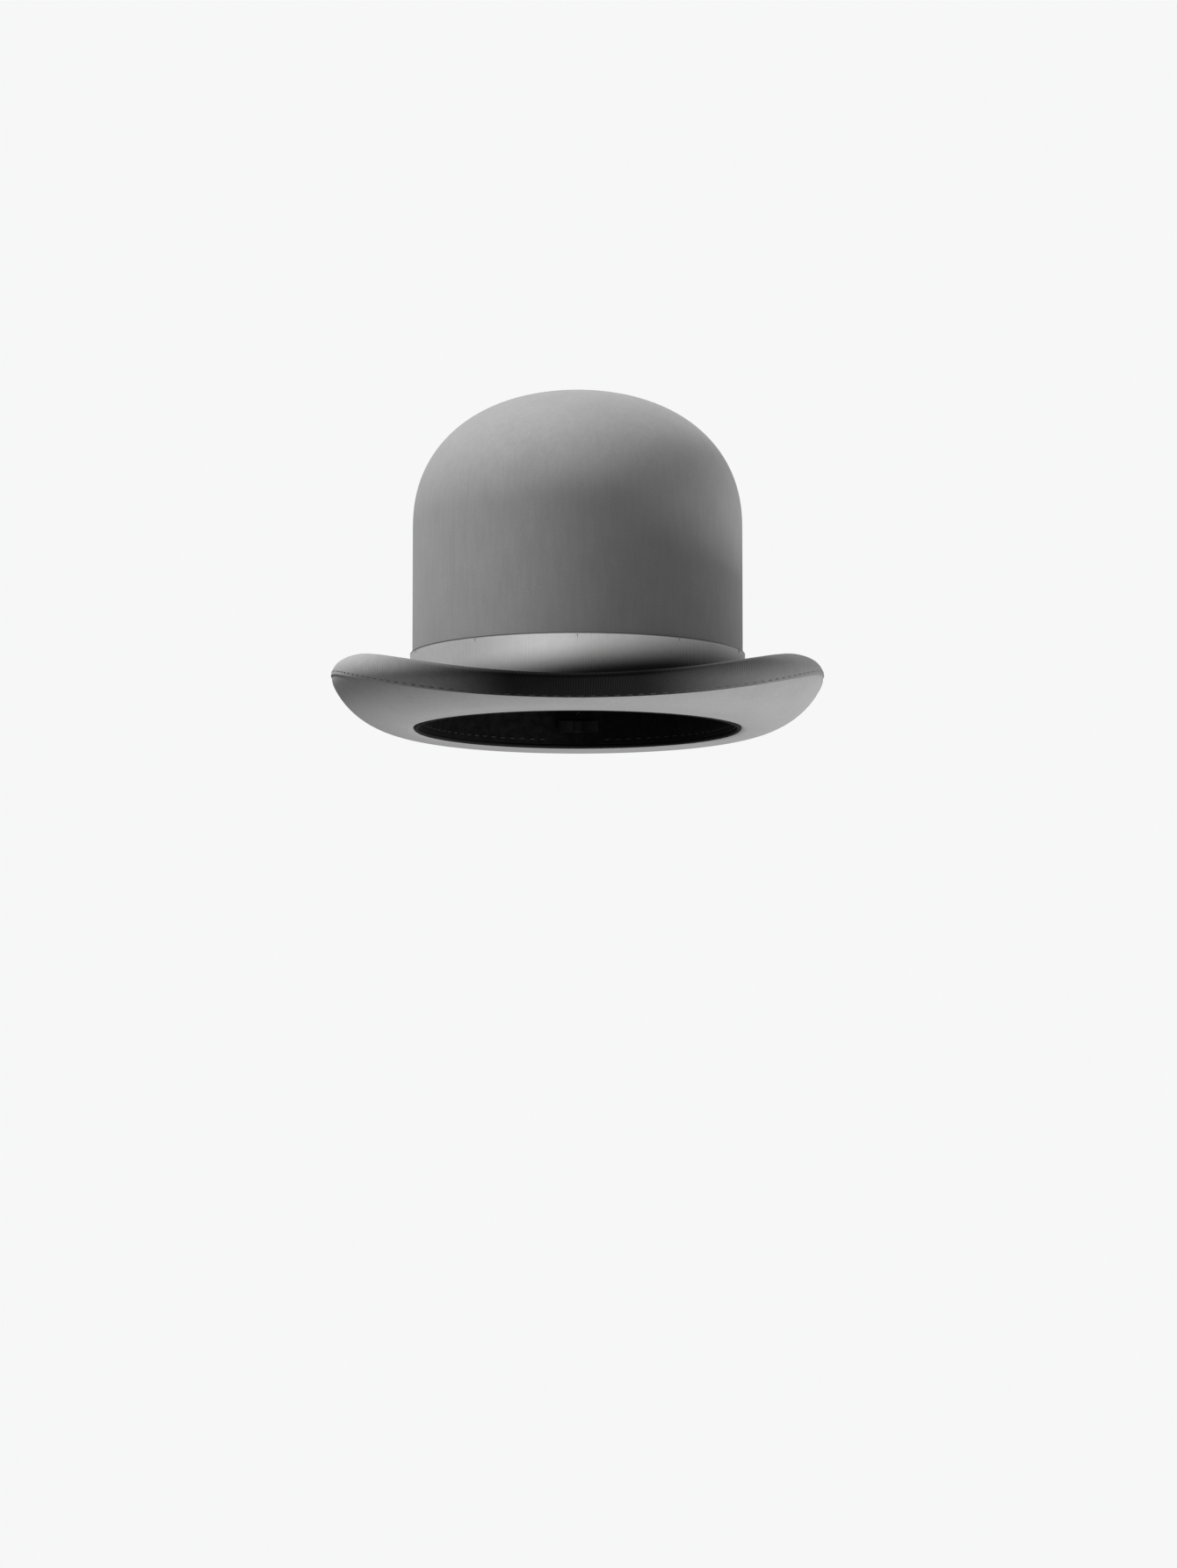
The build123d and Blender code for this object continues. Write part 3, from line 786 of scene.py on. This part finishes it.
def lining_face(inset):
    close, free = satin_out - inset, -hang - inset
    flat = [level(close, z) for z in steps(lining_low[2], loose_from, 6)]
    shares = steps(0, 1, 10)[1:]
    drop = wall_top - loose_from
    wall = [gathered(close + (free - close) * s, loose_from + drop * s, s * 0.9) for s in shares]
    return flat + wall + [dome(hang + inset, s) for s in steps(0, tip_share, 12)[1:]]


side = rings_round(lining_face(0) + list(reversed(lining_face(satin_thick))), closed=True)
lining_side = finish_mesh(side, "lining_side_satin", ["lining_side"], satin.material)
section = lining_face(0)
side_width = sum((b(0) - a(0)).length for a, b in zip(section, section[1:]))
side_area = sum((b(0) - a(0)).length * round_length * (a(0).x + b(0).x) / 2 / crown_side
                for a, b in zip(section, section[1:]))


def cap(inset, first, thick):
    """A thin piece under the top of the dome."""
    shares = steps(first, 0.985, 14)
    bm = rings_round([dome(inset + thick, s) for s in reversed(shares)] + [dome(inset, s) for s in shares])
    bmesh.ops.holes_fill(bm, edges=[e for e in bm.edges if e.is_boundary], sides=0)
    bmesh.ops.poke(bm, faces=[f for f in bm.faces if len(f.verts) > 4])
    bmesh.ops.recalc_face_normals(bm, faces=bm.faces[:])
    return bm


tip_first = tip_share + 0.004
tip_satin = Finish("tip_satin", Roughness=0.34, Specular_IOR_Level=0.12)
tip_at = tip_satin.place()[0]
twill = tip_satin.parts(tip_at)[0].wave(0.0004)
slack = tip_satin.noise(tip_at, 45, 3)
# Black satin, painted darker than real black satin, as painted shade for the inside of the crown.
tip_satin.set("Base Color", tip_satin.mix(slack, grey(0.002), grey(0.007)))
tip_satin.bump(slack * 0.9 + twill * 0.1, 0.0008, 0.4)
tip_disc = cap(hang, tip_first, satin_thick)
tip = finish_mesh(tip_disc, "lining_tip_satin", ["lining_tip"], tip_satin.material)
tip_low, tip_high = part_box("lining_tip")
tip_sides = (tip_high[0] - tip_low[0], tip_high[1] - tip_low[1])
tip_length = [side * 1.06 for side in tip_sides]
pi / 4 * tip_length[0] * tip_length[1]

film = Finish("clear_film", Roughness=0.12, IOR=1.45)
wrinkle = film.noise(film.place()[0], 60, 2)
film.set("Base Color", film.mix(wrinkle, grey(0.25), grey(0.4)))
film.set("Alpha", 0.06 + wrinkle * 0.06)
film.bump(wrinkle, 0.0012, 0.5)
film_share, film_thick = 0.72, 0.0002
film_inset = hang + satin_thick + air
film_disc = cap(film_inset, film_share, film_thick)
finish_mesh(film_disc, "tip_film", ["tip_protector"], film.material)

film_stitches = bmesh.new()
film_edge = dome(film_inset + film_thick + air, film_share + 0.01)
stitch_line(film_stitches, film_edge, lambda t: Vector((0, 0, -1)))
finish_mesh(film_stitches, "film_thread", ["protector_stitches"], thread.material)

# ---- Size ticket ----
# A blank slip of card tucked behind the leather, on the wearer's right towards the back.
ticket_low, ticket_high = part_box("size_ticket")
card = Finish("ticket_card", Roughness=0.8)
fibres = card.noise(card.place()[0], 700, 4)
card.set("Base Color", card.mix(fibres, (0.70, 0.69, 0.64), (0.82, 0.81, 0.77)))
card.bump(fibres, 0.00006, 0.5)
ticket_turn = radians(140)
ticket_thick = 0.0002
ticket_out = satin_out - satin_thick - air - ticket_thick / 2


def by_ticket(along, out, height):
    return oval(ticket_turn + along / 0.0925, out, height)


slip_line = [(x, ticket_out) for x in steps(-0.0149, 0.0149, 12)]
slip = ribbon(slip_line, ticket_low[2], ticket_high[2], by_ticket, ticket_thick)
finish_mesh(slip, "ticket_slip", ["size_ticket"], card.material)
